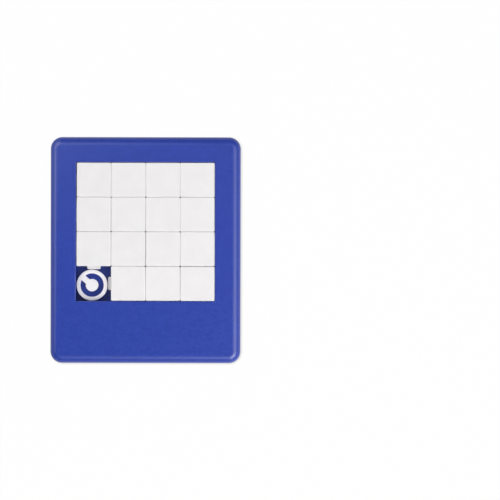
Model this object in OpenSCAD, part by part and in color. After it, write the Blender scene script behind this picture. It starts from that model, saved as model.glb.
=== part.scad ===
// Sliding puzzle: a flat case of two shells, fifteen square tiles in a field of sixteen cells,
// and a round lock disc that fills the empty cell until play begins.
// Seen from the front, +X points right, +Y up and +Z out of the face. Sizes are in millimetres.

/* [Play field] */
// Distance from one cell to the next
tile_pitch = 12.3; // [11:0.1:15]
// Gap between the sides of two neighbouring tiles
tile_gap = 0.12; // [0.1:0.02:0.3]
// Running clearance between a tile and the floor
tile_float = 0.05; // [0.02:0.01:0.15]

/* [Tiles] */
// How far the tops of the tiles lie below the face of the case
tile_sink = 0.3; // [0.1:0.05:0.6]
// Radius of a tile's corners, seen from above
tile_corner_r = 0.45; // [0.4:0.05:1.2]
// Radius of the round along a tile's top edges
tile_round = 0.25; // [0.1:0.05:0.35]
// Thickness of a tile above the pocket in its underside
tile_roof = 1.8; // [1.2:0.1:2.4]
// Thickness of a tile's sides around that pocket
tile_wall = 1.2; // [0.9:0.1:1.8]
// Corner radius of the pocket
pocket_r = 0.8; // [0.4:0.1:1.5]

/* [Tabs and grooves] */
// Width of a tab along the tile's side
tab_w = 4.7; // [3:0.1:7]
// Length of a tab out of the tile's side
tab_len = 1.1; // [0.8:0.05:1.4]
// Thickness of a tab
tab_t = 1.2; // [0.8:0.05:1.5]
// Height of a tab above the tile's underside
tab_z = 1.2; // [0.9:0.05:1.4]
// Radius of a tab's free corners
tab_r = 0.5; // [0.2:0.05:0.55]
// Clearance of a tab in its groove, above, below and at its end
tab_gap = 0.15; // [0.1:0.01:0.25]

/* [Case] */
// Width of the case beside the field, left and right
side_margin = 9.05; // [8:0.05:14]
// Width of the case above the field
top_margin = 8.9; // [8:0.1:14]
// Length of the plain band below the field
band_l = 21.9; // [16:0.1:34]
// Height of the front frame above the back plate
frame_h = 5.4; // [5:0.1:7]
// Radius of the case's corners, seen from above
corner_r = 4.1; // [3.5:0.1:6]
// Radius of the round along the front edge
front_round = 2.8; // [1.5:0.1:3]
// Radius of the fine round on both sides of the seam
seam_round = 0.15; // [0.1:0.05:0.3]
// Corner radius of the window
window_r = 0.4; // [0.2:0.05:0.5]
// Bevel around the window
window_bevel = 0.3; // [0.15:0.05:0.5]
// Thickness of the face
face_t = 1.8; // [1.4:0.1:2.2]
// Thickness of the outer wall
wall_t = 1.8; // [1.4:0.1:2.2]
// Thickness of the wall around the field
field_wall = 1.5; // [1.2:0.1:2]
// Thickness of the ribs behind the plain band
rib_t = 1.2; // [0.8:0.1:1.6]
// Clear height between those ribs and the back plate
rib_rise = 1.6; // [1.5:0.1:2.2]

/* [Back plate] */
// Thickness of the back plate
plate_t = 1.6; // [1.4:0.1:2.4]
// Radius of the round along the back edge
back_round = 0.8; // [0.4:0.1:1.1]
// Thickness of the four ribs that centre the plate in the frame
locator_t = 1; // [0.7:0.1:1.2]
// Length of those ribs
locator_l = 30; // [16:1:40]
// Height of those ribs
locator_h = 1.2; // [0.8:0.1:1.4]
// Clearance between those ribs and the frame
locator_gap = 0.1; // [0.05:0.05:0.2]

/* [Pins and bosses] */
// Diameter of the pins that hold the two shells together
pin_d = 2; // [1.5:0.1:2.4]
// Length of a pin above the floor
pin_len = 2.8; // [2:0.1:3]
// Bevel on a pin's tip
pin_tip = 0.3; // [0.1:0.05:0.5]
// Clearance of a pin in its boss, on the radius
pin_gap = 0.05; // [0.02:0.01:0.1]
// Free depth of a boss beyond its pin
pin_room = 0.4; // [0.2:0.1:0.6]
// Diameter of a boss
boss_d = 4.4; // [4:0.1:5]
// How far a corner boss runs into the outer walls
boss_bite = 0.4; // [0.2:0.1:0.8]
// Distance of the band's two bosses from the middle of the case
band_boss_x = 15; // [10:0.5:18]

/* [Lock disc] */
// Clearance between the disc and what it locks
disc_gap = 0.12; // [0.08:0.01:0.25]
// How far the disc stands above the tabs
disc_rise = 0.4; // [0.35:0.05:1]
// Height of the disc's full-width band, its rounded top edge included
disc_band = 0.6; // [0.5:0.05:0.7]
// How much smaller the disc's foot is than its band, on the radius
disc_taper = 0.9; // [0.7:0.05:1.2]
// Radius of the round along the disc's top edge
disc_round = 0.3; // [0.15:0.05:0.4]
// Width of the ring outside the slot
ring_w = 1.35; // [1.3:0.05:2]
// Width of the curved slot
slot_w = 1.95; // [1:0.05:2]
// Width of the bridge that joins the hub to the ring
bridge_w = 2; // [1.2:0.1:3]
// Direction of that bridge, counted from +X towards +Y
bridge_angle = 140; // [0:5:355]

/* [Hidden] */
$fn = 64;

case_blue = "#3348a8";
tile_white = "#eeeced";
disc_white = "#e8e6ea";

// Length by which a cut runs past the surface that it opens
cut = 1;

// The field, its window and the case around it
cells_per_side = 4;
tile_count = cells_per_side * cells_per_side - 1;
empty_cell = cells_per_side * (cells_per_side - 1);
window_w = cells_per_side * tile_pitch;
case_w = window_w + 2 * side_margin;
case_l = top_margin + window_w + band_l;
field_y = (band_l - top_margin) / 2;
window_left = -window_w / 2;
window_right = window_w / 2;
window_bottom = field_y - window_w / 2;
window_top = field_y + window_w / 2;

// A tile, its tabs and the grooves that take its neighbours' tabs
tile_w = tile_pitch - tile_gap;
tile_h = frame_h - tile_sink - tile_float;
tab_root = tile_wall / 2;
groove_d = tab_len - tile_gap + tab_gap;
pocket_w = tile_w - 2 * tile_wall - groove_d;

// The case's share of the guides: a recess under the lip at the left and below, rails at the right and above
tab_low = plate_t + tile_float + tab_z;
tab_high = tab_low + tab_t;
recess_d = tab_len - tile_gap / 2 + tab_gap;
recess_l = window_w + recess_d - window_r;
rail_len = tab_len - tile_gap / 2;

// The hollow of the front frame
hollow_w = case_w - 2 * wall_t;
hollow_l = case_l - 2 * wall_t;
hollow_r = corner_r - wall_t;
hollow_h = frame_h - face_t;
boss_x = case_w / 2 - wall_t - boss_d / 2 + boss_bite;
boss_y = case_l / 2 - wall_t - boss_d / 2 + boss_bite;
band_low = -case_l / 2 + wall_t;
band_high = window_bottom - recess_d - field_wall;
band_boss_y = (band_low + band_high) / 2;
boss_places = concat(
    [for (x = [-boss_x, boss_x], y = [-boss_y, boss_y]) [x, y]],
    [for (x = [-band_boss_x, band_boss_x]) [x, band_boss_y]]
);

// The lock disc fills what the tabs of its two neighbours leave of the empty cell
disc_room = tile_pitch + tile_gap / 2 - tab_len;
disc_r = disc_room / 2 - disc_gap;
disc_h = tab_high - plate_t + disc_rise;
slot_r = disc_r - ring_w;
hub_r = slot_r - slot_w;

function cell_of(tile) = tile < empty_cell ? tile : tile + 1;
function cell_x(cell) = window_left + (cell % cells_per_side + 0.5) * tile_pitch;
function cell_y(cell) = window_top - (floor(cell / cells_per_side) + 0.5) * tile_pitch;
function tile_name(tile) = str("tile_", tile < 9 ? "0" : "", tile + 1);

// A quarter of a round disc, between the axes x and y
module quarter_disc(r) {
    intersection() {
        circle(r);
        square(r);
    }
}

// A rectangle with rounded corners, about the origin
module rounded_rect(w, l, r) {
    square([w, l - 2 * r], center = true);
    for (side = [-1, 1]) translate([0, side * (l - r) / 2]) square([w - 2 * r, r], center = true);
    for (sx = [0, 1], sy = [0, 1])
        mirror([sx, 0]) mirror([0, sy]) translate([w / 2 - r, l / 2 - r]) quarter_disc(r);
}

// Carries a profile around a rectangle with rounded corners: its x runs outwards from the corners' centres
module around_rect(w, l, r) {
    for (turn = [0:3]) {
        along = turn % 2 == 0 ? l : w;
        across = turn % 2 == 0 ? w : l;
        rotate(90 * turn) {
            translate([across / 2 - r, 0, 0])
                rotate([90, 0, 0]) linear_extrude(along - 2 * r, center = true) children();
            translate([across / 2 - r, along / 2 - r, 0]) rotate_extrude(angle = 90) children();
        }
    }
}

// The edge of a slab, with its upper and lower corners rounded
module edge_profile(r, h, upper, lower) {
    translate([0, lower]) square([r, h - upper - lower]);
    if (upper > 0) {
        translate([0, h - upper]) square([r - upper, upper]);
        translate([r - upper, h - upper]) quarter_disc(upper);
    }
    if (lower > 0) {
        square([r - lower, lower]);
        translate([r - lower, lower]) mirror([0, 1]) quarter_disc(lower);
    }
}

// A flat slab with rounded corners and rounded edges, standing on z = 0
module rounded_slab(w, l, h, r, upper, lower) {
    around_rect(w, l, r) edge_profile(r, h, upper, lower);
    translate([r - w / 2, r - l / 2, 0]) cube([w - 2 * r, l - 2 * r, h]);
}

module at_bosses() {
    for (place = boss_places) translate(place) children();
}

// Plan of the frame's hollow, between the outer wall, the wall around the field and the bosses
module hollow_plan() {
    difference() {
        rounded_rect(hollow_w, hollow_l, hollow_r);
        translate([window_left - recess_d - field_wall, band_high])
            square(window_w + recess_d + 2 * field_wall);
        at_bosses() circle(d = boss_d);
    }
}

// Plan of the ribs that tie the band's bosses to the walls above and below them
module rib_plan() {
    for (x = [-band_boss_x, band_boss_x])
        translate([x - rib_t / 2, band_low - cut]) square([rib_t, band_high - band_low + 2 * cut]);
}

// The hollow, deeper between the ribs than under them
module frame_hollow() {
    translate([0, 0, plate_t - cut]) linear_extrude(rib_rise + cut) hollow_plan();
    translate([0, 0, plate_t + rib_rise]) linear_extrude(hollow_h - rib_rise) difference() {
        hollow_plan();
        rib_plan();
    }
}

// The window with its bevelled edge, and the recess that its lip covers at the left and below
module field_opening() {
    translate([0, field_y, plate_t]) {
        around_rect(window_w, window_w, window_r) polygon([
            [0, -cut],
            [window_r, -cut],
            [window_r, frame_h - window_bevel],
            [window_r + window_bevel + cut, frame_h + cut],
            [0, frame_h + cut]
        ]);
        translate([0, 0, -cut]) linear_extrude(frame_h + 2 * cut)
            square(window_w - 2 * window_r, center = true);
    }
    translate([window_left - recess_d, window_bottom - recess_d, plate_t - cut])
        cube([recess_l, recess_l, tab_high + tab_gap - plate_t + cut]);
}

// The rails stand in the grooves of the tiles along the right and upper sides
module field_rails() {
    root = field_wall / 2;
    reach = window_w + recess_d + 2 * root;
    translate([window_right - rail_len, window_bottom - recess_d - root, tab_low])
        cube([rail_len + root, reach, tab_t]);
    translate([window_left - recess_d - root, window_top - rail_len, tab_low])
        cube([reach, rail_len + root, tab_t]);
}

module front_frame() {
    color(case_blue) {
        difference() {
            translate([0, 0, plate_t])
                rounded_slab(case_w, case_l, frame_h, corner_r, front_round, seam_round);
            frame_hollow();
            field_opening();
            at_bosses() translate([0, 0, plate_t - cut])
                cylinder(r = pin_d / 2 + pin_gap, h = pin_len + pin_room + cut);
        }
        field_rails();
    }
}

// Plan of the locating ribs, one along the middle of each side, just inside the frame's outer wall
module locator_plan() {
    inset = locator_gap + locator_t / 2;
    for (side = [-1, 1]) {
        translate([side * (hollow_w / 2 - inset), 0]) square([locator_t, locator_l], center = true);
        translate([0, side * (hollow_l / 2 - inset)]) square([locator_l, locator_t], center = true);
    }
}

// A pin with a bevelled tip
module pin() {
    cylinder(d = pin_d, h = pin_len - pin_tip);
    translate([0, 0, pin_len - pin_tip]) cylinder(d1 = pin_d, d2 = pin_d - 2 * pin_tip, h = pin_tip);
}

module back_plate() {
    color(case_blue) {
        rounded_slab(case_w, case_l, plate_t, corner_r, seam_round, back_round);
        translate([0, 0, plate_t]) {
            linear_extrude(locator_h) locator_plan();
            at_bosses() pin();
        }
    }
}

// A tab out of the tile's right side
module tab() {
    translate([tile_w / 2 + (tab_len - tab_root) / 2, 0, tab_z])
        linear_extrude(tab_t) rounded_rect(tab_len + tab_root, tab_w, tab_r);
}

// A groove along the whole of the tile's right side
module groove() {
    translate([tile_w / 2 - groove_d, -tile_w / 2 - cut, tab_z - tab_gap])
        cube([groove_d + cut, tile_w + 2 * cut, tab_t + 2 * tab_gap]);
}

// A tile has tabs at the left and below, grooves at the right and above, and a pocket underneath
module tile(number) {
    cell = cell_of(number);
    color(tile_white) translate([cell_x(cell), cell_y(cell), plate_t + tile_float]) {
        difference() {
            rounded_slab(tile_w, tile_w, tile_h, tile_corner_r, tile_round, 0);
            for (side = [0, 90]) rotate(side) groove();
            translate([-groove_d / 2, -groove_d / 2, -cut])
                linear_extrude(tile_h - tile_roof + cut) rounded_rect(pocket_w, pocket_w, pocket_r);
        }
        for (side = [180, 270]) rotate(side) tab();
    }
}

// Half of the disc's section: a tapered foot, an upright band and a rounded top edge
module disc_profile() {
    polygon([
        [0, 0],
        [disc_r - disc_taper, 0],
        [disc_r, disc_h - disc_band],
        [disc_r, disc_h - disc_round],
        [0, disc_h - disc_round]
    ]);
    translate([0, disc_h - disc_round]) square([disc_r - disc_round, disc_round]);
    translate([disc_r - disc_round, disc_h - disc_round]) quarter_disc(disc_round);
}

// Plan of the curved slot, from one side of the bridge round to the other
module slot_plan() {
    difference() {
        circle(slot_r);
        circle(hub_r);
        rotate(bridge_angle) translate([0, -bridge_w / 2]) square([disc_r, bridge_w]);
    }
}

module lock_disc() {
    color(disc_white) translate([window_left + disc_room / 2, window_bottom + disc_room / 2, plate_t])
        difference() {
            rotate_extrude() disc_profile();
            translate([0, 0, -cut]) linear_extrude(disc_h + 2 * cut) slot_plan();
        }
}

front_frame();
back_plate();
lock_disc();
for (number = [0:tile_count - 1])
    tile(number);
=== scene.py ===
"""A pocket sliding puzzle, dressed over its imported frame, in the order in which it is put together."""

import math

import bmesh
import bpy
import numpy as np
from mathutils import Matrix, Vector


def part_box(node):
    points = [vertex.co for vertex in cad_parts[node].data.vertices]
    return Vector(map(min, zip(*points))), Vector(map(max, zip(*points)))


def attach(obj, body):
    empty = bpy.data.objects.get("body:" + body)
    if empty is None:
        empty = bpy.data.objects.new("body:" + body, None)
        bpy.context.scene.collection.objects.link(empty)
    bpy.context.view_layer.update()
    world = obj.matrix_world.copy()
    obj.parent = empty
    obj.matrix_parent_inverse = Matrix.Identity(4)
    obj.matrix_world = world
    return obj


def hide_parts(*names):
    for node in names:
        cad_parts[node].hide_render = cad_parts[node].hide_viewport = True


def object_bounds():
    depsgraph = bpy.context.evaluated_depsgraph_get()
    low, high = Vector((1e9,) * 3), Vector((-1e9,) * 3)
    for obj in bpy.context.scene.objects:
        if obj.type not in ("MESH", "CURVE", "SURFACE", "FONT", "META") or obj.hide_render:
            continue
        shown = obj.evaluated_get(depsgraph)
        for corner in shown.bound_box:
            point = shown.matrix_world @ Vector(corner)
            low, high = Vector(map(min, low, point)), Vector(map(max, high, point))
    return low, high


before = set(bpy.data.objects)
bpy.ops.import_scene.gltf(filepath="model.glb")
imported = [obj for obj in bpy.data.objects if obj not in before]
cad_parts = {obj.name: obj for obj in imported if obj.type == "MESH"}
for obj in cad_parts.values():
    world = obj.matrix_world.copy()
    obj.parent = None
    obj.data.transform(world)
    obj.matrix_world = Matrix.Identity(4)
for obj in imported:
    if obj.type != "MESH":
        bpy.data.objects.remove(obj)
cad_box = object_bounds()
mm = 0.001


# Front frame
# The face of the puzzle: one open shell injection-moulded in blue polystyrene, with a fine satin
# texture from the mould. Lips and rails inside its window guide the tiles.
case_low, case_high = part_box("front_frame")
field_size = 49.2 * mm
top_margin = 8.9 * mm
case_corner = 4.1 * mm
least_case_corner = 0.2 * mm
case_arc = 14
front_round = 2.8 * mm
seam_round = 0.15 * mm
face_thick = 1.8 * mm
wall_thick = 1.8 * mm
field_wall = 1.5 * mm
window_corner = 0.4 * mm
window_round = 0.3 * mm
lip_depth = 1.19 * mm
lip_under = 4.2 * mm
rail_length = 1.04 * mm
rail_low = 2.85 * mm
rail_high = 4.05 * mm

face_z = case_high.z
seam_z = case_low.z
ceiling_z = face_z - face_thick
side_margin = (case_high.x - case_low.x - field_size) / 2
window_left = case_low.x + side_margin
window_right = case_high.x - side_margin
window_top = case_high.y - top_margin
window_bottom = window_top - field_size
field_middle = (0.0, window_bottom + field_size / 2)

# A narrow flat ring beside each round keeps the round's shading off the flat face.
shade_ring = 0.25 * mm
merge_distance = 0.0005 * mm
sharp_angle = math.radians(40)
flat_weight = 100


def rows(*values):
    """Values as arrays of one length, with an entry for each ring."""
    return np.broadcast_arrays(*(np.atleast_1d(np.asarray(value, float)) for value in values))


def outline(left, right, bottom, top, radius, arc, along=np.zeros(1), out=np.zeros(1), middle=(0.0, 0.0)):
    """Rounded rectangles, one a row, each as points in anticlockwise order from the right side's lower end.

    A side's points lie at the distances along from the middle, shortened where the side is too short for
    them, and the left and lower sides swell outwards by out. A corner is a quarter circle of arc steps.
    """
    side_fill = 0.98
    no_reach = 1e-9
    left, right, bottom, top, radius = (
        value.reshape(-1, 1) for value in rows(left, right, bottom, top, radius)
    )
    out = np.atleast_2d(out)
    half = np.minimum(right - left, top - bottom) / 2 - radius
    reach = np.abs(along).max()
    s = along * np.minimum(1.0, half / max(reach, no_reach) * side_fill)
    x, y = middle
    flat = np.zeros_like(s)
    turn = np.linspace(0, math.pi / 2, arc + 1)
    sides = [
        np.stack([right + flat, y + s], 2),
        np.stack([x - s, top + flat], 2),
        np.stack([left - out + flat, y - s], 2),
        np.stack([x + s, bottom - out + flat], 2),
    ]
    corners = [
        np.stack([right - radius + radius * np.cos(turn), top - radius + radius * np.sin(turn)], 2),
        np.stack([left + radius - radius * np.sin(turn), top - radius + radius * np.cos(turn)], 2),
        np.stack([left + radius - radius * np.cos(turn), bottom + radius - radius * np.sin(turn)], 2),
        np.stack([right - radius + radius * np.sin(turn), bottom + radius - radius * np.cos(turn)], 2),
    ]
    return np.concatenate([part for pair in zip(sides, corners) for part in pair], 1)


def at_height(plan, height):
    """Flat outlines, each lifted to its own height."""
    return np.concatenate([plan, np.broadcast_to(height[:, None, None], plan.shape[:2] + (1,))], 2)


def case_ring(inset, height):
    """Rings of the case's outline, set in by a distance, at a height."""
    inset, height = rows(inset, height)
    plan = outline(
        case_low.x + inset, case_high.x - inset, case_low.y + inset, case_high.y - inset,
        np.maximum(case_corner - inset, least_case_corner), case_arc, middle=field_middle,
    )
    return at_height(plan, height)


def window_ring(height, widen=0.0, lip=0.0, rail=0.0):
    """Rings of the window's outline at a height, widened all round, cut back under the lips at the left and
    below, and drawn in by the rails at the right and above."""
    height, widen, lip, rail = rows(height, widen, lip, rail)
    plan = outline(
        window_left - widen - lip, window_right + widen - rail,
        window_bottom - widen - lip, window_top + widen - rail,
        window_corner + widen, case_arc, middle=field_middle,
    )
    return at_height(plan, height)


def quarter_round(radius, steps):
    """How far a round has come in from the side and how far it is below the top, from its foot to its crown:
    the radius times one less the cosine, and times one less the sine, of the turn."""
    turn = np.linspace(0, math.pi / 2, steps + 1)
    return radius * (1 - np.cos(turn)), radius * (1 - np.sin(turn))


def smooth_skin(name, points, faces):
    """An object of points and faces: doubled points merged, faces turned outwards, and all of it shaded
    smooth except along edges sharper than the set angle."""
    mesh = bpy.data.meshes.new(name)
    mesh.from_pydata(points.tolist(), [], faces)
    work = bmesh.new()
    work.from_mesh(mesh)
    bmesh.ops.remove_doubles(work, verts=work.verts, dist=merge_distance)
    bmesh.ops.dissolve_degenerate(work, edges=work.edges, dist=merge_distance)
    bmesh.ops.recalc_face_normals(work, faces=work.faces)
    work.to_mesh(mesh)
    work.free()
    mesh.polygons.foreach_set("use_smooth", np.ones(len(mesh.polygons), bool))
    mesh.set_sharp_from_angle(angle=sharp_angle)
    piece = bpy.data.objects.new(name, mesh)
    bpy.context.scene.collection.objects.link(piece)
    return piece


def keep_flats(piece, weight):
    """Lets large faces settle the shading at their edges, so that they look flat beside a round."""
    normals = piece.modifiers.new("flat faces stay flat", "WEIGHTED_NORMAL")
    normals.keep_sharp = True
    normals.weight = weight


def moulded_piece(name, rings, ring_shaped):
    """A closed skin over rings of points, each ring joined to the next by a band of quads.

    The last ring joins the first where the piece is ring shaped; otherwise both ends close in a pole at
    the middle of their ring.
    """
    count, around = rings.shape[:2]
    points = rings.reshape(-1, 3)
    index = np.arange(count * around).reshape(count, around)
    lower = index if ring_shaped else index[:-1]
    upper = np.roll(index, -1, 0) if ring_shaped else index[1:]
    quads = np.stack([lower, np.roll(lower, -1, 1), np.roll(upper, -1, 1), upper], 2).reshape(-1, 4)
    faces = quads.tolist()
    if not ring_shaped:
        first_pole, last_pole = index.size, index.size + 1
        points = np.vstack([points, rings[0].mean(0), rings[-1].mean(0)])
        faces += np.stack([np.roll(index[0], -1), index[0], np.full(around, first_pole)], 1).tolist()
        faces += np.stack([index[-1], np.roll(index[-1], -1), np.full(around, last_pole)], 1).tolist()
    piece = smooth_skin(name, points, faces)
    keep_flats(piece, flat_weight)
    return piece


seam_in, seam_drop = quarter_round(seam_round, steps=3)
front_in, front_drop = quarter_round(front_round, steps=12)
window_in, window_drop = quarter_round(window_round, steps=5)
frame_rings = np.concatenate([
    case_ring(wall_thick, seam_z),
    case_ring(seam_in[::-1], seam_z + seam_drop[::-1]),
    case_ring(front_in, face_z - front_drop),
    case_ring(front_round + shade_ring, face_z),
    window_ring(face_z, widen=window_round + shade_ring),
    window_ring(face_z - window_drop[::-1], widen=window_in[::-1]),
    window_ring(lip_under),
    window_ring([lip_under, rail_high], lip=lip_depth),
    window_ring([rail_high, rail_low], lip=lip_depth, rail=rail_length),
    window_ring([rail_low, seam_z], lip=lip_depth),
    window_ring([seam_z, ceiling_z], widen=field_wall, lip=lip_depth),
    case_ring(wall_thick, ceiling_z),
])
front_shell = moulded_piece("front_shell", frame_rings, ring_shaped=True)


# Colours are linear, and noise scales count the blotches in a metre. A span is a stretch of the noise's
# values, and a share or a roughness gives what its two ends stand for.
polystyrene_ior = 1.59
case_blue = (0.0095, 0.0475, 0.43, 1.0)
case_blue_deep = (0.004, 0.0335, 0.34, 1.0)
scratch_blue = (0.045, 0.09, 0.45, 1.0)
blue_gloss = 0.75
blue_roughness = (0.295, 0.365)
none_to_all = (0.0, 1.0)
cloud_span = (0.35, 0.65)
grain_span = (0.3, 0.7)
flow_scale = 300
flow_share = (0.0, 0.2)
grain_scale = 1500
speck_span = (0.4, 0.6)
speck_share = (0.0, 0.4)
relief_scale = 3200
relief_depth = 0.002 * mm
scratch_slant = math.radians(45)
scratch_stretch = (110, 5000, 110)
scratch_span = (0.66, 0.72)
worn_scale = 70
worn_span = (0.5, 0.62)


def add_node(tree, kind, inputs, **settings):
    """A node of a kind with its settings, each input either set to a value or linked from another node."""
    made = tree.nodes.new(kind)
    for key, value in settings.items():
        setattr(made, key, value)
    for key, value in inputs.items():
        if isinstance(value, bpy.types.NodeSocket):
            tree.links.new(value, made.inputs[key])
        else:
            made.inputs[key].default_value = value
    return made


def add_noise(tree, where, scale, detail=2.0):
    """Cloudy noise over the piece, of about one blotch in 1/scale metres."""
    inputs = {"Vector": where, "Scale": scale, "Detail": detail}
    return add_node(tree, "ShaderNodeTexNoise", inputs).outputs["Fac"]


def between(tree, value, span, target):
    """Carries a value from one span to another, in proportion, and holds it there."""
    ends = dict(zip(("From Min", "From Max", "To Min", "To Max"), (*span, *target)))
    return add_node(tree, "ShaderNodeMapRange", {"Value": value, **ends}).outputs["Result"]


def mixed(tree, kind, factor, first, second):
    """A colour or a number that runs from the first to the second with the factor."""
    inputs = {"Factor": factor, "A": first, "B": second}
    return add_node(tree, "ShaderNodeMix", inputs, data_type=kind).outputs["Result"]


def worked_out(tree, operation, first, second):
    """Two values put together by one operation of arithmetic."""
    return add_node(tree, "ShaderNodeMath", {0: first, 1: second}, operation=operation).outputs[0]


def plastic(name):
    """An opaque moulded plastic, with its nodes, its shader and the piece's own coordinates."""
    material = bpy.data.materials.new(name)
    material.use_nodes = True
    tree = material.node_tree
    shader = tree.nodes["Principled BSDF"]
    shader.inputs["IOR"].default_value = polystyrene_ior
    return material, tree, shader, add_node(tree, "ShaderNodeTexCoord", {}).outputs["Object"]


def relief(tree, shader, height):
    """Raises and sinks the surface by noise times the relief's depth, for shading only."""
    bump = add_node(tree, "ShaderNodeBump", {"Height": height, "Strength": 1.0, "Distance": relief_depth})
    tree.links.new(bump.outputs["Normal"], shader.inputs["Normal"])


def scratches(tree, where):
    """Fine slanting lines in a few worn patches: noise stretched along the slant, times broad noise."""
    inputs = {"Vector": where, "Rotation": (0.0, 0.0, scratch_slant), "Scale": scratch_stretch}
    slanting = add_node(tree, "ShaderNodeMapping", inputs).outputs["Vector"]
    lines = between(tree, add_noise(tree, slanting, scale=1), scratch_span, none_to_all)
    worn = between(tree, add_noise(tree, where, worn_scale, detail=1), worn_span, none_to_all)
    return worked_out(tree, "MULTIPLY", lines, worn)


def satin_blue(name, scratched):
    """Blue polystyrene: cloudy flow plus fine specks in the colour, the mould's grain in gloss and relief,
    and scratches where it lies on tables."""
    material, tree, shader, where = plastic(name)
    flow = between(tree, add_noise(tree, where, flow_scale, detail=4), cloud_span, flow_share)
    grain = add_noise(tree, where, grain_scale)
    speck = between(tree, grain, speck_span, speck_share)
    colour = mixed(tree, "RGBA", worked_out(tree, "ADD", flow, speck), case_blue_deep, case_blue)
    if scratched:
        colour = mixed(tree, "RGBA", scratches(tree, where), colour, scratch_blue)
    tree.links.new(colour, shader.inputs["Base Color"])
    shader.inputs["Specular IOR Level"].default_value = blue_gloss
    tree.links.new(between(tree, grain, grain_span, blue_roughness), shader.inputs["Roughness"])
    relief(tree, shader, add_noise(tree, where, relief_scale))
    return material


front_shell.data.materials.append(satin_blue("satin_blue", scratched=False))
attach(front_shell, "housing")
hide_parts("front_frame")


# Tiles
# Fifteen square caps moulded in white polystyrene, hollow underneath. Each has a tab in the middle of
# its left and lower sides, which runs in the groove along its neighbour's right or upper side.
tab_length = 1.1 * mm
tab_width = 4.7 * mm
tab_corner = 0.5 * mm
tab_arc = 5
tab_low = rail_low
tab_high = rail_high
tab_edge = 0.12 * mm
groove_depth = 1.13 * mm
groove_low = 2.7 * mm
groove_high = 4.2 * mm
tile_corner = 0.45 * mm
least_tile_corner = 0.1 * mm
tile_arc = 6
tile_round = 0.25 * mm
tile_shade_ring = 0.12 * mm
tile_roof = 1.8 * mm
tile_wall = 1.2 * mm
pocket_corner = 0.8 * mm
top_sink = 0.02 * mm
top_insets = np.array([0.46, 0.36, 0.24, 0.12])

# How far each tile stands to the right of its grid place and above it, in mm, within its play.
tile_lean = {
    "tile_01": (0.19, -0.1), "tile_02": (0.1, -0.1), "tile_03": (0.02, -0.1), "tile_04": (-0.07, -0.1),
    "tile_05": (0.13, -0.04), "tile_06": (0.09, -0.04), "tile_07": (0.02, -0.04), "tile_08": (-0.07, -0.04),
    "tile_09": (0.13, 0.02), "tile_10": (0.08, 0.02), "tile_11": (0.08, 0.02), "tile_12": (-0.01, 0.02),
    "tile_13": (0.08, 0.08), "tile_14": (0.02, 0.07), "tile_15": (-0.01, 0.01),
}


def tab_plan():
    """Distances along a tile's side and out of it that follow the tab: out, round one corner, along, round
    the other corner and back."""
    turn = np.linspace(0, math.pi / 2, tab_arc + 1)
    half = tab_width / 2
    along = np.concatenate([[half], half - tab_corner + tab_corner * np.cos(turn)])
    out = np.concatenate([[0.0], tab_length - tab_corner + tab_corner * np.sin(turn)])
    return np.concatenate([-along, along[::-1]]), np.concatenate([out, out[::-1]])


def tile_piece(node):
    """A tile as a stack of outlines: over its slightly sunk top, down its rounded edges, grooves and tabs,
    along its underside and up into the pocket. The top sinks by the square root of the way in."""
    low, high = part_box(node)
    lean_x, lean_y = (mm * step for step in tile_lean[node])
    left, right = low.x + tab_length + lean_x, high.x + lean_x
    bottom, top = low.y + tab_length + lean_y, high.y + lean_y
    middle = ((left + right) / 2, (bottom + top) / 2)
    along, out = tab_plan()

    def ring(height, inset=0.0, groove=0.0, shy=tab_length, corner=tile_corner):
        """The tile's outline, set in all round, cut back at its grooves, with its tabs that much shy of
        their full reach."""
        height, inset, groove, shy = rows(height, inset, groove, shy)
        plan = outline(
            left + inset, right - inset - groove, bottom + inset, top - inset - groove,
            np.maximum(corner - inset, least_tile_corner), tile_arc,
            along, np.clip(out - shy[:, None], 0, None), middle,
        )
        return at_height(plan, height)

    edge_in, edge_drop = quarter_round(tile_round, steps=6)
    face_in = top_insets * (right - left)
    face_drop = top_sink * np.sqrt(face_in / face_in[0])
    return moulded_piece(node.replace("tile", "tile_cap"), np.concatenate([
        ring(high.z - face_drop, face_in),
        ring(high.z, tile_round + tile_shade_ring),
        ring(high.z - edge_drop[::-1], edge_in[::-1]),
        ring(groove_high),
        ring([groove_high, tab_high], groove=groove_depth),
        ring([tab_high, tab_high - tab_edge], groove=groove_depth, shy=[tab_edge, 0.0]),
        ring([tab_low + tab_edge, tab_low], groove=groove_depth, shy=[0.0, tab_edge]),
        ring([tab_low, groove_low], groove=groove_depth),
        ring([groove_low, low.z]),
        ring([low.z, high.z - tile_roof], tile_wall, groove_depth, corner=tile_wall + pocket_corner),
    ]), ring_shaped=False)


tile_white = (0.86, 0.845, 0.85, 1.0)
tile_white_shade = (0.835, 0.82, 0.828, 1.0)
white_roughness = (0.34, 0.46)
white_cloud_scale = 160
white_grain_scale = 2600


def satin_white(name, colour, shade):
    """White polystyrene: a trace of cloud in the colour, and the mould's fine grain in gloss and relief."""
    material, tree, shader, where = plastic(name)
    cloud = between(tree, add_noise(tree, where, white_cloud_scale, detail=3), cloud_span, none_to_all)
    tree.links.new(mixed(tree, "RGBA", cloud, shade, colour), shader.inputs["Base Color"])
    grain = add_noise(tree, where, white_grain_scale)
    tree.links.new(between(tree, grain, grain_span, white_roughness), shader.inputs["Roughness"])
    relief(tree, shader, grain)
    return material


white_plastic = satin_white("satin_white", tile_white, tile_white_shade)
for node in sorted(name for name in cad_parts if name.startswith("tile_")):
    tile = tile_piece(node)
    tile.data.materials.append(white_plastic)
    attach(tile, node)
    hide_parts(node)


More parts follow.
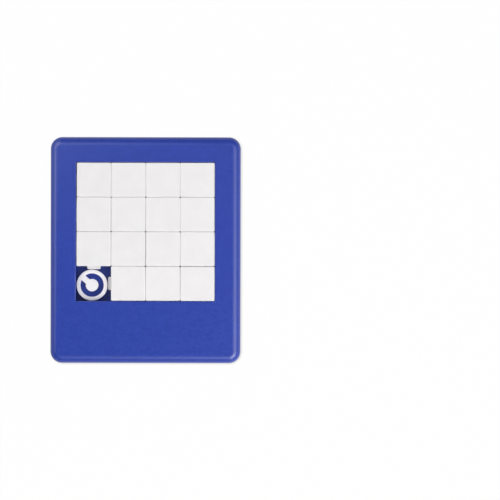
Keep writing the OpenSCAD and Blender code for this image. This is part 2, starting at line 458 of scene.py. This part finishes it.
# Back plate
# The plain back of the case, moulded in the same blue as the frame. Its inside is the floor under the
# tiles, and its edge meets the frame in a fine seam.
back_round = 0.8 * mm
plate_inner = 20 * mm
back_z = cad_box[0].z
back_in, back_drop = quarter_round(back_round, steps=8)
plate_rings = np.concatenate([
    case_ring([plate_inner, back_round + shade_ring], back_z),
    case_ring(back_in[::-1], back_z + back_drop[::-1]),
    case_ring(seam_in, seam_z - seam_drop),
    case_ring([wall_thick, plate_inner], seam_z),
])
back_shell = moulded_piece("back_shell", plate_rings, ring_shaped=False)
back_shell.data.materials.append(satin_blue("satin_blue_back", scratched=True))
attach(back_shell, "housing")
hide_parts("back_plate")


# Lock disc
# A round white moulding that fills the empty cell until play begins. A curved slot runs round its hub
# for a fingernail, and its foot tapers so that it lifts out between the tabs.
disc_low, disc_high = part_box("lock_disc")
disc_round = 0.3 * mm
disc_band = 0.6 * mm
disc_taper = 0.9 * mm
ring_width = 1.35 * mm
slot_width = 1.95 * mm
core_share = 0.5
bridge_width = 2.0 * mm
bridge_turn = math.radians(140)
bridge_points = 7
slot_points = 88
slot_edge = 0.1 * mm
slot_edge_steps = 3
slot_edge_angle = math.radians(60)
disc_flat_weight = 50
# Lighter than the tiles' white: painted light, which brightens the disc against the shade of its deep cell.
painted_light_disc_white = (0.92, 0.9, 0.92, 1.0)
painted_light_disc_white_shade = (0.89, 0.87, 0.895, 1.0)


def slotted_disc(name):
    """Rings about the disc's axis, from the middle of its top over the edge to the middle of its foot.

    The bands between hub and ring are kept only across the bridge, whose sides are parallel, and the
    slot's walls join the upper rings to the lower ones. The slot's edges are softened last.
    """
    x, y = (disc_low.x + disc_high.x) / 2, (disc_low.y + disc_high.y) / 2
    disc_r = (disc_high.x - disc_low.x) / 2
    ring_r = disc_r - ring_width
    hub_r = ring_r - slot_width
    core_r = core_share * hub_r
    top, foot = disc_high.z, disc_low.z
    across = np.linspace(-bridge_width / 2, bridge_width / 2, bridge_points)
    rest = np.linspace(0, 1, slot_points + 2)[1:-1]

    def angles(radius):
        """Turns of the points across the bridge, by the arcsine, so that its sides are parallel, and then
        evenly round the rest."""
        start = math.asin(bridge_width / 2 / radius)
        free = start + (2 * math.pi - 2 * start) * rest
        return bridge_turn + np.concatenate([np.arcsin(across / radius), free])

    edge_in, edge_drop = quarter_round(disc_round, steps=6)
    radius = np.concatenate([
        [core_r, hub_r, ring_r], disc_r - edge_in[::-1],
        [disc_r, disc_r - disc_taper, ring_r, hub_r, core_r],
    ])
    height = np.concatenate([
        [top, top, top], top - edge_drop[::-1], [top - disc_band, foot, foot, foot, foot],
    ])
    count, around = len(radius), bridge_points + slot_points
    hub_top, ring_top, ring_foot, hub_foot = 1, 2, -3, -2
    turn = np.repeat(angles(ring_r)[None, :], count, 0)
    turn[[0, hub_top, hub_foot, -1]] = angles(hub_r)
    rings = np.stack([
        x + radius[:, None] * np.cos(turn), y + radius[:, None] * np.sin(turn),
        np.repeat(height[:, None], around, 1),
    ], 2)
    index = np.arange(count * around).reshape(count, around)
    after = np.roll(index, -1, 1)
    bands = np.stack([index[:-1], index[1:], after[1:], after[:-1]], 2)
    bridge = np.arange(around) < bridge_points - 1
    # The second band from each end crosses the slot.
    keep = np.ones((count - 1, around), bool)
    keep[[1, -2]] = bridge
    walls = [
        np.stack([index[hub_top], after[hub_top], after[hub_foot], index[hub_foot]], 1)[~bridge],
        np.stack([after[ring_top], index[ring_top], index[ring_foot], after[ring_foot]], 1)[~bridge],
        index[[hub_top, hub_foot, ring_foot, ring_top], 0][None, :],
        index[[hub_top, ring_top, ring_foot, hub_foot], bridge_points - 1][None, :],
    ]
    top_pole, foot_pole = index.size, index.size + 1
    fans = [
        np.stack([index[0], after[0], np.full(around, top_pole)], 1),
        np.stack([after[-1], index[-1], np.full(around, foot_pole)], 1),
    ]
    points = np.vstack([rings.reshape(-1, 3), [x, y, top], [x, y, foot]])
    faces = bands[keep].tolist() + np.vstack(walls).tolist() + np.vstack(fans).tolist()
    piece = smooth_skin(name, points, faces)
    bevel = piece.modifiers.new("softened slot edges", "BEVEL")
    bevel.width = slot_edge
    bevel.segments = slot_edge_steps
    bevel.limit_method = "ANGLE"
    bevel.angle_limit = slot_edge_angle
    keep_flats(piece, disc_flat_weight)
    return piece


lock_piece = slotted_disc("lock_plug")
lock_piece.data.materials.append(satin_white("satin_white_disc_painted_light", painted_light_disc_white, painted_light_disc_white_shade))
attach(lock_piece, "lock_disc")
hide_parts("lock_disc")


# Table, light and camera
# The puzzle lies on white paper under soft lamps, and the camera looks straight down on it. The paper is
# clear from below and stops no light: the world gives what it throws back, and one lamp lights the back.
floor_half = 3.0
floor_gap = 0.02 * mm
floor_corners = [(-1, -1), (1, -1), (1, 1), (-1, 1)]
table_paper = (0.5, 0.5, 0.5, 1.0)
table_lift = 0.99
mirrored_lift = 0.35
shadow_reach = 1.1 * mm
shadow_from = (-0.6, 0.6, 0.53)
shadow_tone = (0.5, 1.0)


def white_table():
    """White paper, which the camera and reflections see lifted towards white.

    Its shadow is how much the puzzle covers, close by, of a half-sphere that is turned to the upper left.
    """
    material = bpy.data.materials.new("white_table")
    material.use_nodes = True
    tree = material.node_tree
    tree.nodes.clear()
    paper = add_node(tree, "ShaderNodeBsdfDiffuse", {"Color": table_paper})
    upper_left = add_node(tree, "ShaderNodeCombineXYZ", dict(zip("XYZ", shadow_from))).outputs[0]
    cover = add_node(tree, "ShaderNodeAmbientOcclusion", {"Distance": shadow_reach, "Normal": upper_left})
    tone = between(tree, cover.outputs["AO"], none_to_all, shadow_tone)
    glow = add_node(tree, "ShaderNodeEmission", {"Color": tone, "Strength": 1.0})
    rays = add_node(tree, "ShaderNodeLightPath", {}).outputs
    direct = worked_out(tree, "MAXIMUM", rays["Is Camera Ray"], rays["Is Transmission Ray"])
    lifted = worked_out(tree, "MULTIPLY", direct, table_lift)
    mirrored = worked_out(tree, "MULTIPLY", rays["Is Glossy Ray"], mirrored_lift)
    seen = worked_out(tree, "MAXIMUM", lifted, mirrored)
    upper = add_node(tree, "ShaderNodeMixShader", {"Fac": seen, 1: paper.outputs[0], 2: glow.outputs[0]})
    below = add_node(tree, "ShaderNodeNewGeometry", {}).outputs["Backfacing"]
    clear = add_node(tree, "ShaderNodeBsdfTransparent", {})
    sheet = add_node(tree, "ShaderNodeMixShader", {"Fac": below, 1: upper.outputs[0], 2: clear.outputs[0]})
    add_node(tree, "ShaderNodeOutputMaterial", {"Surface": sheet.outputs[0]})
    return material


floor_mesh = bpy.data.meshes.new("floor")
floor_mesh.from_pydata(
    [(floor_half * x, floor_half * y, -floor_gap) for x, y in floor_corners], [], [(0, 1, 2, 3)]
)
floor_mesh.materials.append(white_table())
floor = bpy.data.objects.new("floor", floor_mesh)
floor.visible_diffuse = False
floor.visible_shadow = False
bpy.context.scene.collection.objects.link(floor)

sky_light = (0.3, 0.11)
bounce_light = 0.75


def studio_world():
    """White surroundings: a dim sky that fades evenly from the horizon to the zenith, the table's light from
    below, and white for the camera."""
    world = bpy.data.worlds.new("studio")
    world.use_nodes = True
    tree = world.node_tree
    toward = add_node(tree, "ShaderNodeTexCoord", {}).outputs["Generated"]
    up = add_node(tree, "ShaderNodeSeparateXYZ", {0: toward}).outputs["Z"]
    sky = between(tree, up, none_to_all, sky_light)
    light = mixed(tree, "FLOAT", worked_out(tree, "LESS_THAN", up, 0.0), sky, bounce_light)
    camera_ray = add_node(tree, "ShaderNodeLightPath", {}).outputs["Is Camera Ray"]
    background = tree.nodes["Background"]
    background.inputs["Color"].default_value = (1.0, 1.0, 1.0, 1.0)
    tree.links.new(mixed(tree, "FLOAT", camera_ray, light, table_lift), background.inputs["Strength"])
    return world


bpy.context.scene.world = studio_world()


def softbox(name, bearing, lean, distance, width, height, share):
    """A rectangular lamp that shines on the puzzle from a bearing, in degrees anticlockwise from the right,
    and leans so many degrees from upright.

    Its power gives a level surface a share of the light under which white renders as white: the share times
    the square of pi times the distance, over the cosine of the lean.
    """
    turn, tilt = math.radians(bearing), math.radians(lean)
    lamp = bpy.data.lights.new(name, "AREA")
    lamp.shape = "RECTANGLE"
    lamp.size = width
    lamp.size_y = height
    lamp.energy = share * (math.pi * distance) ** 2 / abs(math.cos(tilt))
    holder = bpy.data.objects.new(name, lamp)
    aside = distance * math.sin(tilt)
    holder.location = (aside * math.cos(turn), aside * math.sin(turn), distance * math.cos(tilt))
    holder.rotation_euler = (tilt, 0.0, turn + math.pi / 2)
    bpy.context.scene.collection.objects.link(holder)


softbox("top_panel", bearing=125, lean=27, distance=0.34, width=0.15, height=0.15, share=0.08)
softbox("key_softbox", bearing=318, lean=51, distance=0.45, width=0.7, height=0.32, share=0.245)
softbox("key_core", bearing=312, lean=46, distance=0.45, width=0.28, height=0.2, share=0.25)
softbox("key_front", bearing=250, lean=36, distance=0.45, width=0.3, height=0.3, share=0.05)
softbox("key_side", bearing=2, lean=32, distance=0.45, width=0.41, height=0.32, share=0.19)
softbox("left_panel", bearing=149, lean=54, distance=0.45, width=0.5, height=0.32, share=0.15)
softbox("left_core", bearing=149, lean=48, distance=0.45, width=0.4, height=0.2, share=0.085)
softbox("under_panel", bearing=318, lean=128, distance=0.45, width=0.6, height=0.3, share=0.46)

picture_px = 500
case_length_px = 226.2
case_middle_px = (145.35, 250.29)
px = (case_high.y - case_low.y) / case_length_px
camera_roll = math.radians(0.12)
lens = 250.0
sensor = 36.0
camera_data = bpy.data.cameras.new("camera")
camera_data.lens = lens
camera_data.sensor_width = sensor
camera_data.clip_end = 10.0
camera = bpy.data.objects.new("camera", camera_data)
camera.location = (
    (picture_px / 2 - case_middle_px[0]) * px,
    (case_middle_px[1] - picture_px / 2) * px,
    face_z + picture_px * px * lens / sensor,
)
camera.rotation_euler = (0.0, 0.0, camera_roll)
bpy.context.scene.collection.objects.link(camera)
bpy.context.scene.camera = camera
bpy.context.scene.view_settings.view_transform = "Standard"
